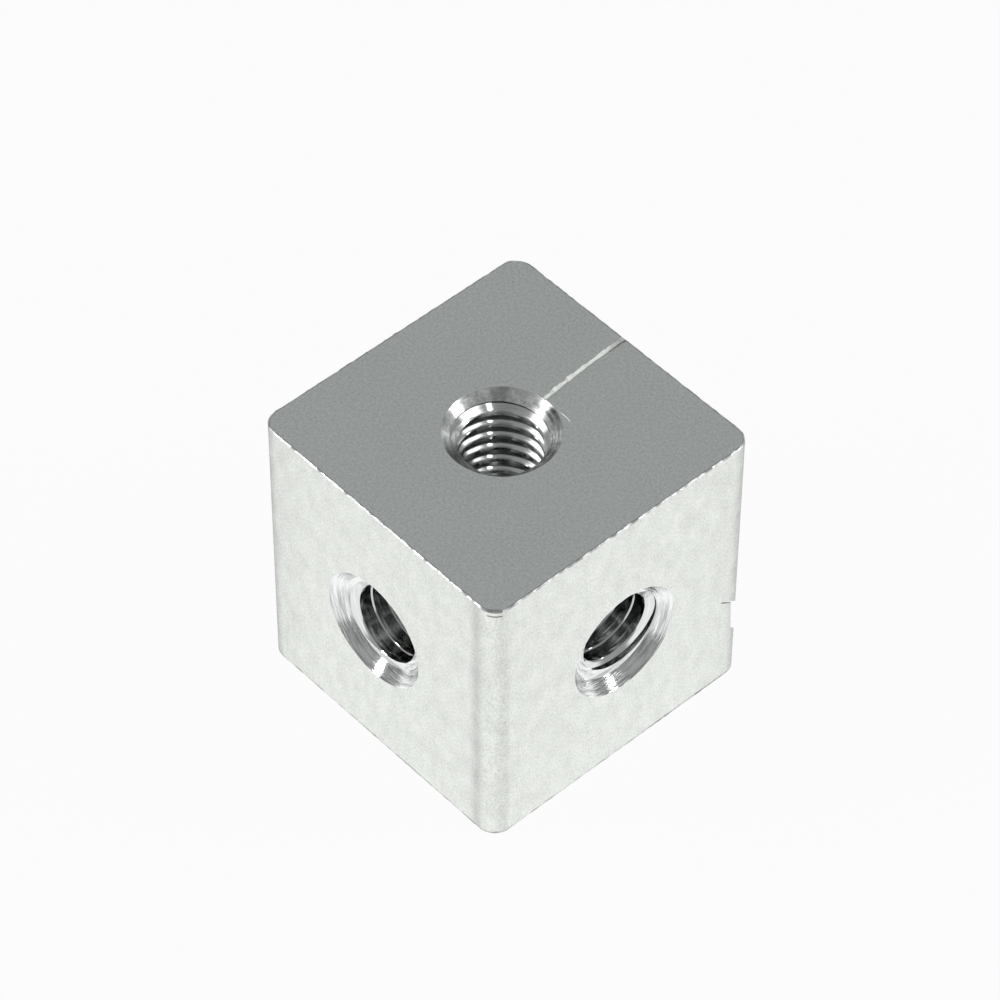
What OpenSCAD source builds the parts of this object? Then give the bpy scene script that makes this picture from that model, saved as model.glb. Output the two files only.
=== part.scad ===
// Cube connector: a short length of square aluminium bar, drilled and tapped
// right through along all three axes so that three frame members can be
// screwed to it at right angles. One solid, centred where the axes cross.

/* [Bar] */
// Width of the square bar across its flats
bar_width = 20; // [16:0.5:40]
// Length that the bar is cut to
cut_length = 20; // [16:0.5:60]
// Radius of the bar's four long edges
edge_radius = 1.2; // [0.5:0.1:3]
// Edge break filed round both sawn ends
end_chamfer = 0.1; // [0.05:0.05:0.4]

/* [Tapped holes] */
// Nominal diameter of the screw thread
thread_diameter = 6; // [4:0.5:8]
// Pitch of the screw thread
thread_pitch = 1; // [0.7:0.05:1.25]
// How much wider than the thread the countersinks in the two sawn ends are
end_countersink_margin = 1; // [0.2:0.1:3]
// How much wider than the thread the countersinks in the four flats are
flat_countersink_margin = 1.8; // [0.2:0.1:3]
// Included angle of the countersinks
countersink_angle = 90; // [60:5:120]

/* [Hidden] */
$fn = 96;

// The tapping drill leaves the thread's core
core_diameter = thread_diameter - thread_pitch;
countersink_slope = tan(countersink_angle / 2);
// Cutters stand this far proud of the faces that they open
overcut = 1;

// Section of the bar's wall from its middle plane outwards, with the filed ends
module chamfered_section(reach) {
    half = cut_length / 2;
    polygon([
        [0, -half],
        [reach - end_chamfer, -half],
        [reach, end_chamfer - half],
        [reach, half - end_chamfer],
        [reach - end_chamfer, half],
        [0, half],
    ]);
}

// Slab between two opposite flats, as long as the flats are between their rounded edges
module flat_slab() {
    flat_length = bar_width - 2 * edge_radius;
    rotate([90, 0, 0])
        linear_extrude(flat_length, center = true)
            for (side = [0, 1])
                mirror([side, 0])
                    chamfered_section(bar_width / 2);
}

// Square bar with rounded long edges, sawn to length and filed round both ends
module bar() {
    corner = bar_width / 2 - edge_radius;
    for (turn = [0, 90])
        rotate(turn)
            flat_slab();
    for (x = [-corner, corner], y = [-corner, corner])
        translate([x, y])
            rotate_extrude()
                chamfered_section(edge_radius);
}

// Cutter for one hole along Z: the tapping drill and a countersink at each mouth
module tapped_hole(length, countersink_margin) {
    countersink_diameter = thread_diameter + countersink_margin;
    countersink_depth = (countersink_diameter - core_diameter) / 2 / countersink_slope;
    cylinder(d = core_diameter, h = length + 2 * overcut, center = true);
    for (mouth = [0, 1])
        mirror([0, 0, mouth])
            translate([0, 0, length / 2 - countersink_depth])
                cylinder(
                    d1 = core_diameter,
                    d2 = countersink_diameter + 2 * overcut * countersink_slope,
                    h = countersink_depth + overcut
                );
}

module connector_block() {
    color("silver")
        difference() {
            bar();
            tapped_hole(cut_length, end_countersink_margin);
            for (turn = [0, 90])
                rotate([90, 0, turn])
                    tapped_hole(bar_width, flat_countersink_margin);
        }
}

connector_block();
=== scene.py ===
"""Cube connector: a sawn length of square aluminium bar with a tapped hole through each pair of faces."""

import math

import bpy
from mathutils import Matrix, Vector


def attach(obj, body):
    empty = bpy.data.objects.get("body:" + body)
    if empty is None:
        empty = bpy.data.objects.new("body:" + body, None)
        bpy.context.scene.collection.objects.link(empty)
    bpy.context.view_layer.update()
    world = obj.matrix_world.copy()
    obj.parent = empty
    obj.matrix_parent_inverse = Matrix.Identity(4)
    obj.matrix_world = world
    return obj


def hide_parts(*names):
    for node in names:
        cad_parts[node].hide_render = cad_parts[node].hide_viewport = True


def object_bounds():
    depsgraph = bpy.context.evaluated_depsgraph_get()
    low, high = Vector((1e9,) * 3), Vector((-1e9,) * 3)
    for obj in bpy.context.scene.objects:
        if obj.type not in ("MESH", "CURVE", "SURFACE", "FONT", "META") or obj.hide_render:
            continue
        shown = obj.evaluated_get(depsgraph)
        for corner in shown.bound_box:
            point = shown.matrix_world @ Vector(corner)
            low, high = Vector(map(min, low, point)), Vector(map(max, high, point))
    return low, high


bl_info = {
    "name": "Cube connector",
    "version": (1, 0, 0),
    "blender": (4, 5, 0),
    "location": "3D View > Sidebar > Connector",
    "description": "Builds a tapped aluminium cube connector and the stage it is photographed on",
    "category": "Add Mesh",
}

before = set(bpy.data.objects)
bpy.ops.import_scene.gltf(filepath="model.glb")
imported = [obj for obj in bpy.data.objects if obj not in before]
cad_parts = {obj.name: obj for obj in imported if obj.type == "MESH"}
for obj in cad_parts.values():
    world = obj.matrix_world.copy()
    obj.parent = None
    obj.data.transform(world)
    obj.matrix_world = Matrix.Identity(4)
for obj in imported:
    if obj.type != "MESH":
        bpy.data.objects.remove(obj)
CAD_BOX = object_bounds()
NODE = "connector_block"
MM = 0.001
PER_MM = 1 / MM
BAR_WIDTH = (CAD_BOX[1].x - CAD_BOX[0].x) * PER_MM
CUT_LENGTH = (CAD_BOX[1].z - CAD_BOX[0].z) * PER_MM


# Node trees

NOISE_MIDDLE = 0.5
NOISE_REACH = 0.25


class Number:
    """A number inside a node tree: arithmetic on it adds Math nodes."""

    def __init__(self, tree, socket):
        self.tree = tree
        self.socket = socket

    def maths(self, operation, *others):
        values = [self, *others]
        made = put(self.tree, "ShaderNodeMath", dict(enumerate(values)), operation=operation)
        return Number(self.tree, made.outputs[0])

    def __add__(self, other):
        return self.maths("ADD", other)

    def __sub__(self, other):
        return self.maths("SUBTRACT", other)

    def __mul__(self, other):
        return self.maths("MULTIPLY", other)

    def __truediv__(self, other):
        return self.maths("DIVIDE", other)

    def __neg__(self):
        return self.maths("MULTIPLY", -1.0)

    def __gt__(self, other):
        return self.maths("GREATER_THAN", other)

    def size(self):
        return self.maths("ABSOLUTE")

    def least(self, other):
        return self.maths("MINIMUM", other)

    def most(self, other):
        return self.maths("MAXIMUM", other)

    def ramp(self, low, high, start=0.0, end=1.0):
        """Goes smoothly from start to end as this number goes from low to high."""
        inputs = {"Value": self, "From Min": low, "From Max": high, "To Min": start, "To Max": end}
        made = put(self.tree, "ShaderNodeMapRange", inputs, interpolation_type="SMOOTHSTEP")
        return Number(self.tree, made.outputs[0])

    def bump_at(self, centre, width):
        """A bell of height 1 round centre."""
        return ((self - centre) / width).maths("POWER", 2.0).maths("MULTIPLY", -1.0).maths("EXPONENT")


def put(tree, kind, inputs=(), **settings):
    """Adds a node with its settings. An input is a value, a socket, a Number or a list of sockets."""
    made = tree.nodes.new(kind)
    for name, value in settings.items():
        setattr(made, name, value)
    for key, value in dict(inputs).items():
        for one in value if isinstance(value, list) else [value]:
            feed(tree, made.inputs[key], one)
    return made


def feed(tree, socket, value):
    source = value.socket if isinstance(value, Number) else value
    if isinstance(source, bpy.types.NodeSocket):
        tree.links.new(source, socket)
    else:
        socket.default_value = source


def vector(tree, x=0.0, y=0.0, z=0.0):
    return put(tree, "ShaderNodeCombineXYZ", {"X": x, "Y": y, "Z": z}).outputs[0]


def parts_of(tree, socket):
    """The three parts of a vector as Numbers."""
    made = put(tree, "ShaderNodeSeparateXYZ", {0: socket})
    return [Number(tree, output) for output in made.outputs]


def noise(tree, place, scale, detail, seed, roughness=0.5):
    """Soft noise round NOISE_MIDDLE, mostly within NOISE_REACH of it."""
    inputs = {"Vector": place, "W": seed, "Scale": scale, "Detail": detail, "Roughness": roughness}
    made = put(tree, "ShaderNodeTexNoise", inputs, noise_dimensions="4D")
    return Number(tree, made.outputs["Fac"])


# Sizes and colours that a user would change


def length(name, description, millimetres):
    return bpy.props.FloatProperty(
        name=name, description=description, default=millimetres * MM, unit="LENGTH", precision=5
    )


def drift(name, description, millimetres):
    default = [part * MM for part in millimetres]
    return bpy.props.FloatVectorProperty(
        name=name, description=description, default=default, unit="LENGTH", precision=5
    )


def angle(name, description, degrees):
    return bpy.props.FloatProperty(
        name=name, description=description, default=math.radians(degrees), subtype="ANGLE"
    )


def strength(name, description, default):
    return bpy.props.FloatProperty(name=name, description=description, default=default, min=0.0)


def colour(name, description, default):
    return bpy.props.FloatVectorProperty(
        name=name, description=description, default=default, size=3, subtype="COLOR", min=0.0, max=1.0
    )


class ConnectorSizes(bpy.types.PropertyGroup):
    """Sizes of the tapped block"""

    bar_width: length("Bar Width", "Across the flats of the square bar", BAR_WIDTH)
    cut_length: length("Cut Length", "Between the two sawn ends", CUT_LENGTH)
    edge_radius: length("Edge Radius", "Rounding of the bar's long edges", 1.2)
    end_chamfer: length("End Chamfer", "Edge break filed round the sawn ends", 0.075)
    thread_diameter: length("Thread Diameter", "Nominal diameter of the screw thread", 6.0)
    thread_pitch: length("Thread Pitch", "Advance of the thread in one turn", 1.0)
    end_countersink: length("End Countersink", "Diameter of the countersinks in the sawn ends", 7.0)
    flat_countersink: length("Flat Countersink", "Diameter of the countersinks in the flats", 7.8)
    countersink_angle: angle("Countersink Angle", "Included angle of the countersinks", 90)
    thread_lip: length("Thread Lip", "Diameter of the lip round each thread's start in the flats", 6.3)
    end_thread_turn: angle("End Thread Turn", "Turn of the thread that runs from end to end", -50)
    front_thread_turn: angle("Front Thread Turn", "Turn of the thread that runs from front to back", -75)
    side_thread_turn: angle("Side Thread Turn", "Turn of the thread that runs from side to side", 180)


class ConnectorWear(bpy.types.PropertyGroup):
    """Marks of the drill, the file and handling"""

    burr: length("Burr", "How far the filed edges wander", 0.16)
    scratch_width: length("Scratch Width", "Width of the scratch across one sawn end", 0.48)
    scratch_depth: length("Scratch Depth", "Depth of the scratch", 0.12)
    dent_depth: length("Dent Depth", "Depth of the dent in one rounded edge", 0.3)
    nick_depth: length("Nick Depth", "Depth of the two nicks under the front corner", 0.09)
    end_drift: drift("End Drift", "Off-centre drift of the hole from end to end", (-0.25, 0.10, 0.0))
    front_drift: drift("Front Drift", "Off-centre drift of the hole from front to back", (0.20, 0.0, -0.15))
    side_drift: drift("Side Drift", "Off-centre drift of the hole from side to side", (0.0, 0.33, -0.10))
    end_lean: drift("End Lean", "From the end countersinks' axis to their thread's", (0.0, 0.0, 0.0))
    front_lean: drift("Front Lean", "From the front countersink's axis to its thread's", (0.2, 0.0, 0.0))
    side_lean: drift("Side Lean", "From the side countersink's axis to its thread's", (0.0, 0.0, -0.3))


class ConnectorFinish(bpy.types.PropertyGroup):
    """Colours of the metal as each tool left it"""

    flats: colour("Flats", "Mill finish of the extruded flats", (0.845, 0.873, 0.835))
    ends: colour("Ends", "Satin sawn ends", (0.835, 0.88, 0.86))
    cuts: colour("Cuts", "Bright drilled and tapped metal", (0.90, 0.92, 0.91))


class ConnectorStage(bpy.types.PropertyGroup):
    """Camera and light"""

    azimuth: angle("Azimuth", "Camera's direction round the block", -42.511)
    elevation: angle("Elevation", "Camera's height above the horizon", 48.391)
    roll: angle("Roll", "Camera's turn about its own axis", 0.320)
    distance: length("Distance", "From the camera to the block's centre", 281.91)
    aim_left: length("Aim Left", "How far left of the block's centre the camera aims", 0.315)
    aim_up: length("Aim Up", "How far above the block's centre the camera aims", 2.649)
    lens: length("Lens", "Focal length on a 36 mm sensor", 173.08)
    lamp_distance: length("Lamp Distance", "From each lamp to the block", 500)
    softbox_side: length("Softbox Side", "Width and height of each softbox", 80)
    softbox_strength: strength("Softbox Strength", "Radiance of the two softboxes", 12.0)
    spot_side: length("Spot Side", "Width and height of the small lamp above the camera", 36)
    spot_strength: strength("Spot Strength", "Radiance of the small lamp", 8.0)
    room_strength: strength("Room Strength", "Radiance of the room above the table", 0.32)
    panel_strength: strength("Panel Strength", "Radiance of the bright panels high up at both sides", 1.4)


# Materials

STREAK_BREAKS = 1.6


def metal(name, base, tint, roughness, height, height_strength, height_distance):
    """Bare aluminium in base times tint. Tint, roughness and height are functions of tree and place."""
    material = bpy.data.materials.new(name)
    material.use_nodes = True
    tree = material.node_tree
    shader = tree.nodes["Principled BSDF"]
    place = put(tree, "ShaderNodeTexCoord").outputs["Object"]
    place = put(tree, "ShaderNodeVectorMath", {0: place, "Scale": PER_MM}, operation="SCALE").outputs[0]
    tinted = put(
        tree,
        "ShaderNodeVectorMath",
        {0: tuple(base), 1: vector(tree, *[tint(tree, place)] * 3)},
        operation="MULTIPLY",
    )
    bump = put(
        tree,
        "ShaderNodeBump",
        {"Strength": height_strength, "Distance": height_distance * MM, "Height": height(tree, place)},
    )
    tree.links.new(tinted.outputs[0], shader.inputs["Base Color"])
    tree.links.new(roughness(tree, place).socket, shader.inputs["Roughness"])
    tree.links.new(bump.outputs[0], shader.inputs["Normal"])
    shader.inputs["Metallic"].default_value = 1.0
    return material


def stretched(tree, place, x, y, z):
    return put(tree, "ShaderNodeVectorMath", {0: place, 1: (x, y, z)}, operation="MULTIPLY").outputs[0]


def in_end_hole(tree, place):
    """1 near the mouths of the hole from end to end, and 0 near those in the flats."""
    x, y, z = parts_of(tree, place)
    return z.size() > x.size().most(y.size())


def around(tree, place):
    """A place's distance from the axis of its hole, and its direction across that axis as two parts."""
    x, y, z = parts_of(tree, place)
    along_x = x.size() > y.size().most(z.size())
    along_z = in_end_hole(tree, place)
    across = y * along_x + x * (-along_x + 1.0)
    upward = y * along_z + z * (-along_z + 1.0)
    distance = (across * across + upward * upward).maths("SQRT")
    return distance, across / distance, upward / distance


def tool_marks(tree, place, fineness, seed):
    """Streaks that run round a hole, as many to a millimetre as fineness says."""
    distance, across, upward = around(tree, place)
    streaked = vector(tree, across * STREAK_BREAKS, upward * STREAK_BREAKS, distance * fineness)
    return noise(tree, streaked, scale=1.0, detail=3.0, seed=seed, roughness=0.6)


def mill_finish(base, half, end):
    """Extruded flats: mottled and speckled, with painted shade beside the edges and a painted shadow along
    the foot, and a grain along the bar.
    """

    def speckle(tree, place):
        place = stretched(tree, place, 1.0, 1.0, 0.7)
        return noise(tree, place, scale=8.0, detail=3.0, seed=2.0, roughness=0.7)

    def grain(tree, place):
        place = stretched(tree, place, 1.0, 1.0, 0.06)
        return noise(tree, place, scale=3.5, detail=3.0, seed=1.0)

    def mottle(tree, place):
        place = stretched(tree, place, 1.0, 1.0, 0.6)
        return noise(tree, place, scale=1.1, detail=3.0, seed=9.0, roughness=0.6)

    def dashes(tree, place):
        """Broken shade, fuller towards the right of the front."""
        x = parts_of(tree, place)[0]
        broken = noise(tree, place, scale=1.2, detail=2.0, seed=6.0).ramp(0.40, 0.60, 0.1, 0.5)
        return broken + x.ramp(0.0, 0.7 * half, 0.0, 0.35) * x.ramp(0.85 * half, 0.9 * half, 1.0, 0.0)

    def tint(tree, place):
        x, y, z = parts_of(tree, place)
        # Painted shade in two bands, one either side of the front rounded edge
        painted_front_shade = y.bump_at(centre=1.45 - half, width=0.42) * 0.22
        painted_shade_near_front = painted_front_shade + x.bump_at(centre=0.85 - half, width=0.4) * 0.1
        # Painted shade towards the two far rounded edges, which also darkens the two far faces a little
        painted_shade_far_edges = y.bump_at(centre=half, width=3.0) * 0.08 + x.bump_at(centre=half, width=3.0) * 0.05
        # Painted shade on the far rounded edges
        outline = y.most(x).ramp(half - 1.5, half - 0.4, 0.0, 0.36)
        # Painted shadow in broken dashes along the foot of the flats
        painted_foot_shadow = z.ramp(0.12 - end, 0.28 - end, 1.0, 0.0) * dashes(tree, place)
        specks = noise(tree, place, scale=3.4, detail=1.0, seed=12.0).ramp(0.68, 0.76, 0.0, 0.11)
        marks = speckle(tree, place) + mottle(tree, place) * 0.38 + grain(tree, place) * 0.06
        return marks - painted_shade_near_front - painted_shade_far_edges - outline - painted_foot_shadow - specks + 0.30

    def roughness(tree, place):
        return speckle(tree, place) * 0.2 + 0.32

    def height(tree, place):
        return speckle(tree, place) + grain(tree, place) * 0.5

    return metal(
        "mill_finish_and_shade_flats", base, tint, roughness, height, height_strength=0.3, height_distance=0.02
    )


def sawn_finish(base, half, radius):
    """Sawn ends: an even satin of fine pits, with painted shade on the rounded corners, where the edge is
    turned down.
    """

    def pits(tree, place):
        return noise(tree, place, scale=6.0, detail=3.0, seed=3.0, roughness=0.7)

    def tint(tree, place):
        x, y, _ = parts_of(tree, place)
        x_part = (x.size() - (half - radius)).most(0.0)
        y_part = (y.size() - (half - radius)).most(0.0)
        to_corner = (x_part * x_part + y_part * y_part).maths("SQRT")
        # Painted shade on the rounded corners of the ends
        painted_corner_shade = to_corner.ramp(radius - 0.18, radius - 0.08, 1.0, 0.6)
        clouds = noise(tree, place, scale=0.25, detail=1.0, seed=4.0)
        marks = pits(tree, place) * 0.85 + clouds * 0.06
        return (marks + 0.56) * painted_corner_shade

    def roughness(tree, place):
        return pits(tree, place) * 0.16 + 0.36

    return metal(
        "satin_sawn_ends_and_shade", base, tint, roughness, pits, height_strength=0.3, height_distance=0.02
    )


def turned_finish(base):
    """Countersinks: bright, with the streaks that the tool left, painted darker as shade on the bottom half
    of each countersink in the flats and the half towards -Y in the ends, and duller and blotched in the
    ends.
    """
    brightest = 1.07

    def streaks(tree, place):
        return tool_marks(tree, place, fineness=7.0, seed=5.0)

    def tint(tree, place):
        # Painted shade: the streaks show darker on the bottom half of each countersink in the flats, and on
        # the half towards -Y in the ends
        painted_shade_below = around(tree, place)[2].ramp(-0.2, 0.4, 0.5, 0.03)
        streaks_and_painted_shade = streaks(tree, place).ramp(0.36, 0.62, 1.0, 0.0) * painted_shade_below
        clouds = noise(tree, place, scale=2.2, detail=3.0, seed=10.0, roughness=0.7)
        blotches = (clouds - NOISE_MIDDLE) * 1.4 - 0.2
        return (blotches * in_end_hole(tree, place) - streaks_and_painted_shade + brightest).least(brightest)

    def roughness(tree, place):
        return streaks(tree, place) * 0.1 + in_end_hole(tree, place) * 0.12 + 0.07

    def height(tree, place):
        return streaks(tree, place) * (in_end_hole(tree, place) * -0.65 + 1.0)

    return metal(
        "turned_countersinks_and_shade", base, tint, roughness, height, height_strength=0.6, height_distance=0.09
    )


def tapped_finish(base):
    """Threads: bright, torn a little by the tap, with painted shade that darkens them deep down in the
    holes in the flats.
    """
    # Millimetres from the block's middle over which the painted shade deep in the holes fades out
    deep = 7.6
    shallow = 8.8

    def tearing(tree, place):
        return tool_marks(tree, place, fineness=9.0, seed=7.0)

    def tint(tree, place):
        x, y, _ = parts_of(tree, place)
        from_middle = x.size().most(y.size())
        # Painted shade: darker deep down in the holes in the flats, and a little darker through the hole
        # from end to end
        brightness = from_middle.ramp(deep, shallow, 0.72, 1.0).most(in_end_hole(tree, place) * 0.92)
        return (tearing(tree, place) * 0.5 + 0.66) * brightness

    def roughness(tree, place):
        return tearing(tree, place) * 0.1 + 0.06

    return metal(
        "tapped_threads_and_shade", base, tint, roughness, tearing, height_strength=0.2, height_distance=0.01
    )


def fresh_finish(base):
    """Fresh metal where a file or a scratch has been."""

    def chatter(tree, place):
        return noise(tree, place, scale=4.0, detail=3.0, seed=8.0, roughness=0.7)

    def tint(tree, place):
        return chatter(tree, place) * 0.5 + 0.65

    def roughness(tree, place):
        return chatter(tree, place) * 0.3 + 0.2

    return metal(
        "fresh_metal", base, tint, roughness, chatter, height_strength=0.5, height_distance=0.03
    )


# The tapped block's tree

ZONES = ("Flats", "Ends", "Countersinks", "Threads", "Fresh Metal")
OUTLINE_STEP = 0.15 * MM
EDGE_STEPS = 24
ROUND_SIDES = 96
THREAD_STEPS = 72
OVERCUT = 1.0 * MM
FLANK = math.radians(30)
GROOVE_LIP = 0.07
LIP_SLOPE = math.radians(18)
CUTTER_OVERLAP = 0.01 * MM
SHARP = math.radians(35)
FILED_SLOPE = 0.3
SAWN_SLOPE = 0.97
SEED = 11.0
DENT_BITE = 2.0 * MM

# Scratches in the top end: three points in mm, how many times narrower and shallower, the zone that shows
SCRATCHES = (
    (((2.9, 0.24), (7.0, 0.70), (10.4, 0.70)), 1.0, 1.0, "Flats"),
    (((3.13, -2.0), (3.25, -1.5), (3.2, -1.1)), 5.0, 2.0, "Ends"),
)

# Dents in the rounded edges: how many times which depth, then their place and shape in degrees and mm
DENTS = (
    ("Dent Depth", 0.75, dict(azimuth=-45, height=-5.5, wide=4.0, tall=1.58, lean=-2, slant=-48)),
    ("Dent Depth", 2.8, dict(azimuth=-45, height=-4.4, wide=4.0, tall=0.09, lean=-9, slant=-48)),
    ("Nick Depth", 2.4, dict(azimuth=-135, height=9.98, wide=0.85, tall=0.2, lean=0, slant=0)),
    ("Nick Depth", 1.0, dict(azimuth=-135, height=9.60, wide=4.0, tall=0.1, lean=10, slant=0)),
)


def in_zone(tree, mesh, zone):
    """Marks a mesh's faces with the number of their zone."""
    return put(
        tree,
        "GeometryNodeStoreNamedAttribute",
        {"Geometry": mesh, "Name": "zone", "Value": zone},
        data_type="INT",
        domain="FACE",
    ).outputs[0]


def moved(tree, mesh, offset=(0, 0, 0), turn=(0, 0, 0)):
    return put(
        tree, "GeometryNodeTransform", {"Geometry": mesh, "Translation": offset, "Rotation": turn}
    ).outputs[0]


def outwards_from_z(tree, place, amount):
    """A vector of the given length that points away from the Z axis."""
    x, y, _ = parts_of(tree, place)
    away = put(tree, "ShaderNodeVectorMath", {0: vector(tree, x, y)}, operation="NORMALIZE").outputs[0]
    return put(tree, "ShaderNodeVectorMath", {0: away, "Scale": amount}, operation="SCALE").outputs[0]


def wander(tree, place, fineness, seed):
    """A number from about -1 to 1 that changes along an edge."""
    waves = noise(tree, place, scale=fineness * PER_MM, detail=3.0, seed=seed, roughness=0.6)
    return (waves - NOISE_MIDDLE) / NOISE_REACH


def by_index(tree, choices, kind):
    """Gives each point the choice with its own number."""
    index = put(tree, "GeometryNodeInputIndex").outputs[0]
    switch = put(tree, "GeometryNodeIndexSwitch", {"Index": index}, data_type=kind)
    while len(switch.index_switch_items) < len(choices):
        switch.index_switch_items.new()
    for item, choice in zip(switch.index_switch_items, choices):
        feed(tree, switch.inputs[str(item.identifier)], choice)
    return switch.outputs[0]


def polygon(tree, corners):
    """A closed outline through corners, each a pair of parts."""
    ring = put(tree, "GeometryNodeCurvePrimitiveCircle", {"Resolution": len(corners)}).outputs[0]
    places = by_index(tree, [vector(tree, x, y) for x, y in corners], "VECTOR")
    return put(tree, "GeometryNodeSetPosition", {"Geometry": ring, "Position": places}).outputs[0]


def bar(tree, size):
    """Square bar with rounded long edges, along Z, with filed ends that wander a little."""
    square = put(
        tree,
        "GeometryNodeCurvePrimitiveQuadrilateral",
        {"Width": size["Bar Width"], "Height": size["Bar Width"]},
    )
    rounded = put(
        tree,
        "GeometryNodeFilletCurve",
        {"Curve": square.outputs[0], "Count": EDGE_STEPS, "Radius": size["Edge Radius"]},
        mode="POLY",
    )
    outline = put(
        tree,
        "GeometryNodeResampleCurve",
        {"Curve": rounded.outputs[0], "Length": OUTLINE_STEP},
        mode="LENGTH",
    )
    half = size["Cut Length"] / 2
    chamfer = size["End Chamfer"]
    shoulder = half - chamfer
    levels = [-half, -shoulder, shoulder, half]
    height = Number(tree, by_index(tree, levels, "FLOAT"))
    line = put(tree, "GeometryNodeCurvePrimitiveLine", {"End": (0, 0, 1)})
    path = put(
        tree,
        "GeometryNodeResampleCurve",
        {"Curve": line.outputs[0], "Count": len(levels)},
        mode="COUNT",
    )
    path = put(
        tree, "GeometryNodeSetPosition", {"Geometry": path.outputs[0], "Position": vector(tree, z=height)}
    )
    narrowing = (height.size() > (half - chamfer / 2)) * chamfer / (size["Bar Width"] / 2)
    mesh = put(
        tree,
        "GeometryNodeCurveToMesh",
        {
            "Curve": path.outputs[0],
            "Profile Curve": outline.outputs[0],
            "Scale": -narrowing + 1.0,
            "Fill Caps": True,
        },
    ).outputs[0]
    mesh = burred(tree, mesh, size, half, chamfer)
    steepness = parts_of(tree, put(tree, "GeometryNodeInputNormal").outputs[0])[2].size()
    filed = (steepness > FILED_SLOPE) * ZONES.index("Fresh Metal")
    sawn = (steepness > SAWN_SLOPE) * (ZONES.index("Ends") - ZONES.index("Fresh Metal"))
    return in_zone(tree, mesh, filed + sawn)


def burred(tree, mesh, size, half, chamfer):
    """The filed edges of a bar: both lines of each edge wander by the burr."""
    place = put(tree, "GeometryNodeInputPosition").outputs[0]
    z = parts_of(tree, place)[2]
    on_rim = z.size() > (half - chamfer / 2)
    on_edge = z.size() > (half - chamfer * 1.5)
    in_and_out = wander(tree, place, fineness=1.8, seed=size["Seed"]) * size["Burr"] * 0.5
    up_and_down = wander(tree, place, fineness=1.6, seed=size["Seed"] + 1.0) * size["Burr"] * 0.4
    in_and_out = outwards_from_z(tree, place, in_and_out)
    mesh = put(
        tree, "GeometryNodeSetPosition", {"Geometry": mesh, "Selection": on_rim, "Offset": in_and_out}
    ).outputs[0]
    return put(
        tree,
        "GeometryNodeSetPosition",
        {
            "Geometry": mesh,
            "Selection": on_edge.maths("COMPARE", on_rim, 0.5).maths("LESS_THAN", 0.5),
            "Offset": vector(tree, z=up_and_down),
        },
    ).outputs[0]


def thread_groove(tree, size, reach):
    """The groove that a tap cuts, with eased lips, swept along a right-hand helix up the Z axis."""
    pitch = size["Thread Pitch"]
    core = (size["Thread Diameter"] - pitch) / 2
    depth = size["Thread Diameter"] / 2 - core
    # Half of the flat at the root, which is an eighth of the pitch
    root = pitch / 16
    lip = pitch * GROOVE_LIP
    lip_foot = lip * 1.4
    lip_end = root + (depth - lip) * math.tan(FLANK)
    flank_end = root + (depth - lip_foot) * math.tan(FLANK)
    side = [
        (-lip, lip_end + lip * 2),
        (0.0, lip_end + lip),
        (lip, lip_end),
        (lip_foot, flank_end),
        (depth, root),
    ]
    section = polygon(tree, [side[0]] + [(x, -y) for x, y in side] + side[:0:-1])
    helix = put(
        tree,
        "GeometryNodeCurveSpiral",
        {
            "Resolution": THREAD_STEPS,
            "Rotations": reach / pitch,
            "Start Radius": core,
            "End Radius": core,
            "Height": reach,
            "Reverse": True,
        },
    )
    upright = put(tree, "GeometryNodeSetCurveNormal", {"Curve": helix.outputs[0]}, mode="Z_UP")
    groove = put(
        tree,
        "GeometryNodeCurveToMesh",
        {"Curve": upright.outputs[0], "Profile Curve": section, "Fill Caps": True},
    )
    return moved(tree, groove.outputs[0], vector(tree, z=-reach / 2))


def countersink_cone(tree, size, rim, foot):
    """A cone for one mouth, foot at the origin, with a rim that wanders a little, and how deep it goes."""
    slope = (size["Countersink Angle"] / 2).maths("TANGENT")
    depth = (rim / 2 - foot) / slope
    cone = put(
        tree,
        "GeometryNodeMeshCone",
        {
            "Vertices": ROUND_SIDES,
            "Radius Bottom": foot,
            "Radius Top": rim / 2 + slope * OVERCUT,
            "Depth": depth + OVERCUT,
        },
    ).outputs[0]
    place = put(tree, "GeometryNodeInputPosition").outputs[0]
    at_top = parts_of(tree, place)[2] > depth / 2
    waver = wander(tree, place, fineness=0.6, seed=size["Seed"] + 2.0) * size["Burr"] * 0.4
    shift = outwards_from_z(tree, place, waver)
    cone = put(tree, "GeometryNodeSetPosition", {"Geometry": cone, "Selection": at_top, "Offset": shift})
    return cone.outputs[0], depth


def thread_lip(tree, foot, core):
    """The flatter cone that a raised lip leaves at a countersink's foot, and how deep it goes."""
    depth = (foot - core) * math.tan(LIP_SLOPE)
    cone = put(
        tree,
        "GeometryNodeMeshCone",
        {
            "Vertices": ROUND_SIDES,
            "Radius Bottom": core,
            "Radius Top": foot,
            "Depth": depth + CUTTER_OVERLAP,
        },
    )
    return cone.outputs[0], depth


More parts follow.
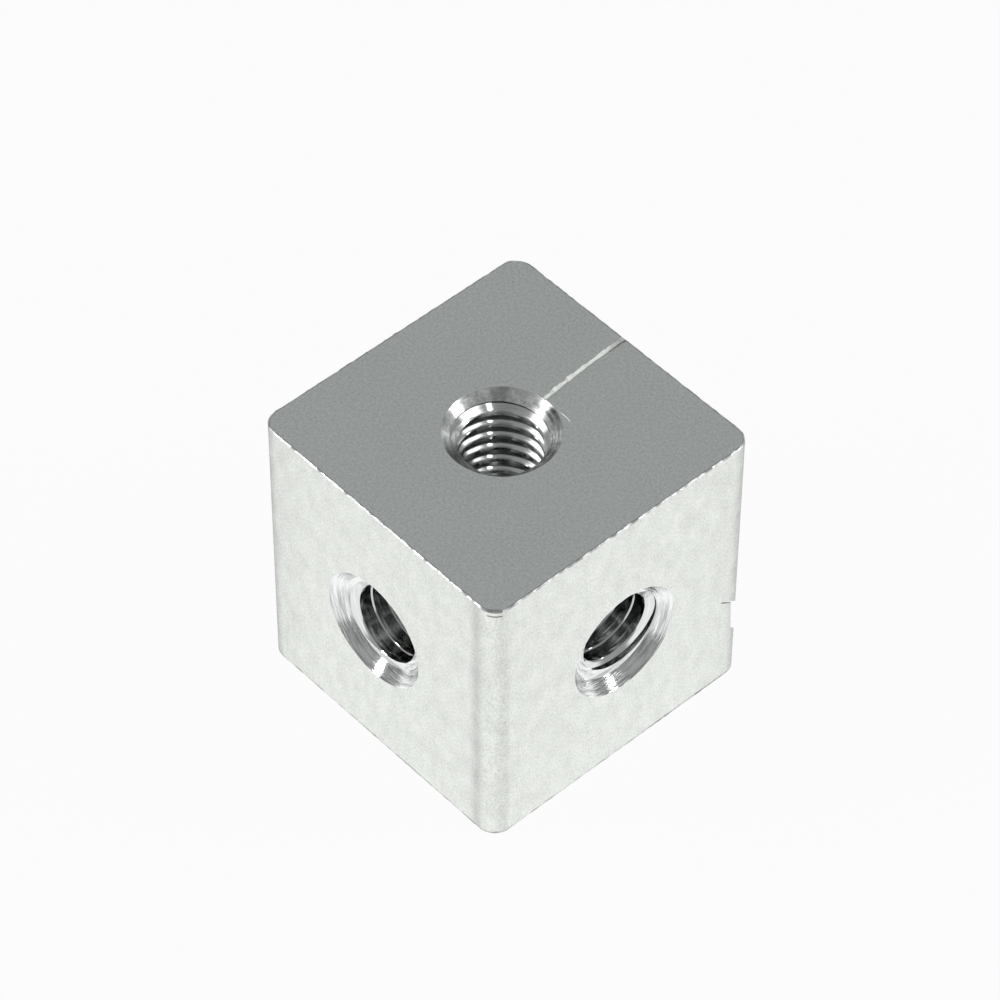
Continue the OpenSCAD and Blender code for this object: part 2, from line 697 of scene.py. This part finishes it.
def tapped_hole(tree, size, span, rim, lip, thread_turn, turn, off_centre, lean):
    """Cutters for one hole right through: drill, tap and a countersink at each mouth, turned and moved."""
    reach = span + 2 * OVERCUT
    core = (size["Thread Diameter"] - size["Thread Pitch"]) / 2
    drill = put(
        tree, "GeometryNodeMeshCylinder", {"Vertices": ROUND_SIDES, "Radius": core, "Depth": reach}
    ).outputs[0]
    groove = moved(tree, thread_groove(tree, size, reach), turn=vector(tree, z=thread_turn))
    foot = lip / 2 if lip else core
    cone, depth = countersink_cone(tree, size, rim, foot)
    mouth = [moved(tree, cone, vector(tree, z=span / 2 - depth))]
    if lip:
        cone, below = thread_lip(tree, foot, core)
        mouth.append(moved(tree, cone, vector(tree, z=span / 2 - depth - below)))
    mouth += [moved(tree, cone, turn=(math.pi, 0, 0)) for cone in mouth]
    axis = put(tree, "ShaderNodeVectorMath", {0: off_centre, 1: lean}, operation="ADD").outputs[0]
    drilled = [moved(tree, cutter, axis, turn) for cutter in (drill, groove)]
    cutters = [in_zone(tree, cutter, ZONES.index("Threads")) for cutter in drilled]
    sunk = [moved(tree, cutter, off_centre, turn) for cutter in mouth]
    return cutters + [in_zone(tree, cutter, ZONES.index("Countersinks")) for cutter in sunk]


def scratch(tree, size, points, width, depth, zone):
    """Cutter for a scratch in the top end that bends through three points, in millimetres, and wavers."""
    top = size["Cut Length"] / 2
    ends = dict(zip(("Start", "Middle", "End"), points))
    bend = put(
        tree,
        "GeometryNodeCurveQuadraticBezier",
        {name: vector(tree, x * MM, y * MM, top) for name, (x, y) in ends.items()},
    )
    path = put(
        tree,
        "GeometryNodeResampleCurve",
        {"Curve": bend.outputs[0], "Length": OUTLINE_STEP},
        mode="LENGTH",
    )
    path = put(tree, "GeometryNodeSetCurveNormal", {"Curve": path.outputs[0]}, mode="Z_UP")
    section = polygon(tree, [(width / 2, 0.0), (0.0, depth), (-width / 2, 0.0), (width * -0.35, -depth)])
    place = put(tree, "GeometryNodeInputPosition").outputs[0]
    waver = (wander(tree, place, fineness=1.5, seed=size["Seed"] + 3.0) * 0.6 + 0.8).most(0.15)
    groove = put(
        tree,
        "GeometryNodeCurveToMesh",
        {"Curve": path.outputs[0], "Profile Curve": section, "Scale": waver, "Fill Caps": True},
    )
    return in_zone(tree, groove.outputs[0], ZONES.index(zone))


def dent(tree, size, depth, azimuth, height, wide, tall, lean, slant):
    """Cutter for a dent in the rounded edge at an azimuth. It leans outwards and slants along the edge."""
    diagonal = size["Bar Width"] / 2 * math.sqrt(2) - size["Edge Radius"] * (math.sqrt(2) - 1)
    cube = put(tree, "GeometryNodeMeshCube", {"Size": (DENT_BITE, wide * MM, tall * MM)}).outputs[0]
    cube = moved(tree, cube, vector(tree, DENT_BITE / 2))
    cube = moved(tree, cube, turn=(math.radians(slant), math.radians(lean), 0))
    cube = moved(tree, cube, vector(tree, diagonal - depth, 0.0, height * MM))
    cube = moved(tree, cube, turn=(0, 0, math.radians(azimuth)))
    return in_zone(tree, cube, ZONES.index("Fresh Metal"))


def between_zones(tree, zone):
    """1 at an edge between two zones, where the mean of the squares isn't the square of the mean."""
    number = Number(tree, zone)
    means = [
        put(tree, "GeometryNodeFieldOnDomain", {"Value": value}, data_type="FLOAT", domain="FACE")
        for value in (number * 1.0, number * number)
    ]
    mean, mean_square = [Number(tree, made.outputs[0]) for made in means]
    return (mean_square - mean * mean) > 0.01


def tapped_block_tree(sizes, finishes):
    """The whole block as a tree, and the identifiers and values of its inputs."""
    tree = bpy.data.node_groups.new("Tapped block", "GeometryNodeTree")
    tree.interface.new_socket(name="Geometry", in_out="OUTPUT", socket_type="NodeSocketGeometry")
    values = {}
    for name, value in sizes.items():
        kind = "NodeSocketFloat" if isinstance(value, float) else "NodeSocketVector"
        socket = tree.interface.new_socket(name=name, in_out="INPUT", socket_type=kind)
        values[socket.identifier] = value
    for name, material in finishes.items():
        socket = tree.interface.new_socket(name=name, in_out="INPUT", socket_type="NodeSocketMaterial")
        values[socket.identifier] = material
    given = put(tree, "NodeGroupInput").outputs
    size = {name: Number(tree, given[name]) for name in sizes}
    flat = ("Bar Width", "Flat Countersink", "Thread Lip")
    holes = [
        ("Cut Length", "End Countersink", None, "End Thread Turn", (0, 0, 0), "End Drift", "End Lean"),
        (*flat, "Front Thread Turn", (math.pi / 2, 0, 0), "Front Drift", "Front Lean"),
        (*flat, "Side Thread Turn", (0, math.pi / 2, 0), "Side Drift", "Side Lean"),
    ]
    cutters = []
    for names in holes:
        cutters += tapped_hole(tree, size, *[size.get(name, name) for name in names])
    for points, narrower, shallower, shown in SCRATCHES:
        width = size["Scratch Width"] / narrower
        depth = size["Scratch Depth"] / shallower
        cutters.append(scratch(tree, size, points, width, depth, shown))
    for depth, times, shape in DENTS:
        cutters.append(dent(tree, size, size[depth] * times, **shape))
    block = put(
        tree,
        "GeometryNodeMeshBoolean",
        {"Mesh 1": bar(tree, size), "Mesh 2": cutters},
        operation="DIFFERENCE",
        solver="MANIFOLD",
    ).outputs[0]
    smooth = put(tree, "GeometryNodeSetShadeSmooth", {"Geometry": block}).outputs[0]
    zone = put(tree, "GeometryNodeInputNamedAttribute", {"Name": "zone"}, data_type="INT").outputs[0]
    fold = Number(tree, put(tree, "GeometryNodeInputMeshEdgeAngle").outputs["Unsigned Angle"]) > SHARP
    block = put(
        tree,
        "GeometryNodeSetShadeSmooth",
        {"Geometry": smooth, "Selection": fold.most(between_zones(tree, zone)), "Shade Smooth": False},
        domain="EDGE",
    ).outputs[0]
    block = put(tree, "GeometryNodeRealizeInstances", {"Geometry": block}).outputs[0]
    block = put(
        tree, "GeometryNodeSetMaterial", {"Geometry": block, "Material": given[ZONES[0]]}
    ).outputs[0]
    for number, name in enumerate(ZONES[1:], 1):
        chosen = put(
            tree,
            "FunctionNodeCompare",
            {"A": zone, "B": number},
            data_type="INT",
            operation="EQUAL",
        )
        block = put(
            tree,
            "GeometryNodeSetMaterial",
            {"Geometry": block, "Selection": chosen.outputs[0], "Material": given[name]},
        ).outputs[0]
    put(tree, "NodeGroupOutput", {"Geometry": block})
    return tree, values


def grown(name, tree, values):
    """A plain mesh object made by a node tree with the given input values."""
    seed = bpy.data.objects.new(name, bpy.data.meshes.new(name + "_seed"))
    bpy.context.scene.collection.objects.link(seed)
    modifier = seed.modifiers.new(tree.name, "NODES")
    modifier.node_group = tree
    for identifier, value in values.items():
        modifier[identifier] = value
    evaluated = seed.evaluated_get(bpy.context.evaluated_depsgraph_get())
    mesh = bpy.data.meshes.new_from_object(evaluated)
    seed.modifiers.remove(modifier)
    seed.data = mesh
    for place in reversed(range(len(mesh.materials))):
        if mesh.materials[place] is None:
            mesh.materials.pop(index=place)
    if not mesh.polygons:
        raise RuntimeError(f"{name} came out empty")
    return seed


def labelled(group):
    """The values of a property group, each under its label."""
    return {group.bl_rna.properties[key].name: getattr(group, key) for key in group.__annotations__}


class CONNECTOR_OT_block(bpy.types.Operator):
    """Builds the tapped block in place of the plain solid"""

    bl_idname = "connector.block"
    bl_label = "Tapped Block"

    def execute(self, context):
        sizes = context.scene.connector_sizes
        wear = context.scene.connector_wear
        finish = context.scene.connector_finish
        half = sizes.bar_width / 2 * PER_MM
        finishes = {
            "Flats": mill_finish(finish.flats, half, sizes.cut_length / 2 * PER_MM),
            "Ends": sawn_finish(finish.ends, half, sizes.edge_radius * PER_MM),
            "Countersinks": turned_finish(finish.cuts),
            "Threads": tapped_finish(finish.cuts),
            "Fresh Metal": fresh_finish(finish.cuts),
        }
        inputs = {**labelled(sizes), **labelled(wear), "Seed": SEED}
        block = grown("tapped_block", *tapped_block_tree(inputs, finishes))
        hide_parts(NODE)
        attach(block, "root")
        return {"FINISHED"}


# The stage

SENSOR = 36.0
FLOOR_REACH = 2.0
PAPER = (0.85, 0.85, 0.85, 1.0)
WHITE = (1.0, 1.0, 1.0, 1.0)
# Share of the floor's own white in what the camera and the metal see of it, the rest being lit paper
WHITE_SHARE = 0.95

# Where the softboxes stand, as parts forward of the block, to the camera's right and up
LEFT_SOFTBOX = (0.13, -0.90, 0.42)
RIGHT_SOFTBOX = (0.03, 0.92, 0.38)
SMALL_LAMP = Vector((0.091, -0.405, 0.910))


def camera_axes(stage):
    """The camera's right, up and backward directions."""
    a, e = stage.azimuth, stage.elevation
    back = Vector((math.sin(a) * math.cos(e), -math.cos(a) * math.cos(e), math.sin(e)))
    right = Vector((math.cos(a), math.sin(a), 0.0))
    up = back.cross(right)
    turn = Matrix.Rotation(stage.roll, 3, back)
    return turn @ right, turn @ up, back


def add_camera(scene, stage):
    right, up, back = camera_axes(stage)
    data = bpy.data.cameras.new("camera")
    data.lens = stage.lens * PER_MM
    data.sensor_width = SENSOR
    data.clip_start = stage.distance / 10
    camera = bpy.data.objects.new("camera", data)
    place = back * stage.distance - right * stage.aim_left + up * stage.aim_up
    camera.matrix_world = Matrix.Translation(place) @ Matrix((right, up, back)).transposed().to_4x4()
    scene.collection.objects.link(camera)
    scene.camera = camera


def floor_material():
    """White paper that greys away from the block in what the metal mirrors."""
    material = bpy.data.materials.new("white_paper")
    material.use_nodes = True
    tree = material.node_tree
    tree.nodes.clear()
    path = put(tree, "ShaderNodeLightPath").outputs
    camera, glossy, clear = [
        Number(tree, path[name]) for name in ("Is Camera Ray", "Is Glossy Ray", "Is Transmission Ray")
    ]
    place = put(tree, "ShaderNodeTexCoord").outputs["Object"]
    away = Number(tree, put(tree, "ShaderNodeVectorMath", {0: place}, operation="LENGTH").outputs["Value"])
    whiteness = away.ramp(0.04, 0.22, 1.0, 0.3).most(camera)
    paper = put(tree, "ShaderNodeBsdfDiffuse", {"Color": PAPER})
    white = put(tree, "ShaderNodeEmission", {"Color": WHITE, "Strength": whiteness})
    seen = camera.most(glossy).most(clear)
    mixed = put(
        tree, "ShaderNodeMixShader", {0: seen * WHITE_SHARE, 1: paper.outputs[0], 2: white.outputs[0]}
    )
    put(tree, "ShaderNodeOutputMaterial", {"Surface": mixed.outputs[0]})
    return material


def add_floor(scene, height):
    mesh = bpy.data.meshes.new("floor")
    near, far = -FLOOR_REACH, FLOOR_REACH
    corners = [(near, near), (far, near), (far, far), (near, far)]
    mesh.from_pydata([(x, y, height) for x, y in corners], [], [(0, 1, 2, 3)])
    mesh.materials.append(floor_material())
    floor = bpy.data.objects.new("floor", mesh)
    scene.collection.objects.link(floor)


def add_room(scene, stage):
    """White to the camera, and to the metal a grey room with a bright panel high up at both sides."""
    world = bpy.data.worlds.new("studio")
    world.use_nodes = True
    tree = world.node_tree
    tree.nodes.clear()
    path = put(tree, "ShaderNodeLightPath").outputs
    direction = put(tree, "ShaderNodeTexCoord").outputs["Generated"]
    x, y, z = parts_of(tree, direction)
    right, _, back = camera_axes(stage)
    forward = x * right.y - y * right.x
    at_sides = forward.size().ramp(0.22, 0.34, 1.0, 0.0)
    panels = at_sides * z.ramp(0.58, 0.66) * z.ramp(0.84, 0.88, 1.0, 0.0)
    behind_camera = x * back.x + y * back.y + z * back.z
    dimness = behind_camera.ramp(0.94, 0.99, 1.0, 0.5) * z.ramp(0.90, 0.97, 1.0, 0.75)
    room = dimness * stage.room_strength + panels * stage.panel_strength
    brightness = Number(tree, path["Is Camera Ray"]).most(room)
    background = put(tree, "ShaderNodeBackground", {"Color": WHITE, "Strength": brightness})
    put(tree, "ShaderNodeOutputWorld", {"Surface": background.outputs[0]})
    scene.world = world


def add_lamp(scene, name, direction, distance, side, radiance):
    """A square lamp that faces the block from a direction."""
    data = bpy.data.lights.new(name, "AREA")
    data.shape = "SQUARE"
    data.size = side
    data.energy = radiance * math.pi * side * side
    lamp = bpy.data.objects.new(name, data)
    towards = direction.normalized()
    level = Vector((0.0, 0.0, 1.0)).cross(towards).normalized()
    turn = Matrix((level, towards.cross(level), towards)).transposed()
    lamp.matrix_world = Matrix.Translation(towards * distance) @ turn.to_4x4()
    scene.collection.objects.link(lamp)


class CONNECTOR_OT_stage(bpy.types.Operator):
    """Sets the white table, the room, two softboxes, a small lamp and the camera"""

    bl_idname = "connector.stage"
    bl_label = "Stage"

    def execute(self, context):
        scene = context.scene
        stage = scene.connector_stage
        scene.view_settings.view_transform = "Standard"
        add_floor(scene, CAD_BOX[0].z)
        add_room(scene, stage)
        right = camera_axes(stage)[0]
        front = Vector((right.y, -right.x, 0.0))
        softbox = (stage.lamp_distance, stage.softbox_side, stage.softbox_strength)
        for name, (forward, sideways, upward) in {"left": LEFT_SOFTBOX, "right": RIGHT_SOFTBOX}.items():
            direction = front * forward + right * sideways + Vector((0.0, 0.0, upward))
            add_lamp(scene, name + "_softbox", direction, *softbox)
        spot = (stage.lamp_distance, stage.spot_side, stage.spot_strength)
        add_lamp(scene, "small_lamp", SMALL_LAMP, *spot)
        add_camera(scene, stage)
        return {"FINISHED"}


class CONNECTOR_PT_panel(bpy.types.Panel):
    """Sizes, finishes and the steps that build the connector"""

    bl_label = "Cube Connector"
    bl_space_type = "VIEW_3D"
    bl_region_type = "UI"
    bl_category = "Connector"

    def draw(self, context):
        layout = self.layout
        for name, group in GROUPS.items():
            box = layout.box()
            for key in group.__annotations__:
                box.prop(getattr(context.scene, name), key)
        for operator in OPERATORS:
            layout.operator(operator.bl_idname)


GROUPS = {
    "connector_sizes": ConnectorSizes,
    "connector_wear": ConnectorWear,
    "connector_finish": ConnectorFinish,
    "connector_stage": ConnectorStage,
}
OPERATORS = (CONNECTOR_OT_block, CONNECTOR_OT_stage)
CLASSES = (*GROUPS.values(), *OPERATORS, CONNECTOR_PT_panel)


def register():
    for made in CLASSES:
        bpy.utils.register_class(made)
    for name, group in GROUPS.items():
        setattr(bpy.types.Scene, name, bpy.props.PointerProperty(type=group))


def unregister():
    for name in GROUPS:
        delattr(bpy.types.Scene, name)
    for made in reversed(CLASSES):
        bpy.utils.unregister_class(made)


def main():
    register()
    bpy.ops.connector.block()
    bpy.ops.connector.stage()


if __name__ == "__main__":
    main()
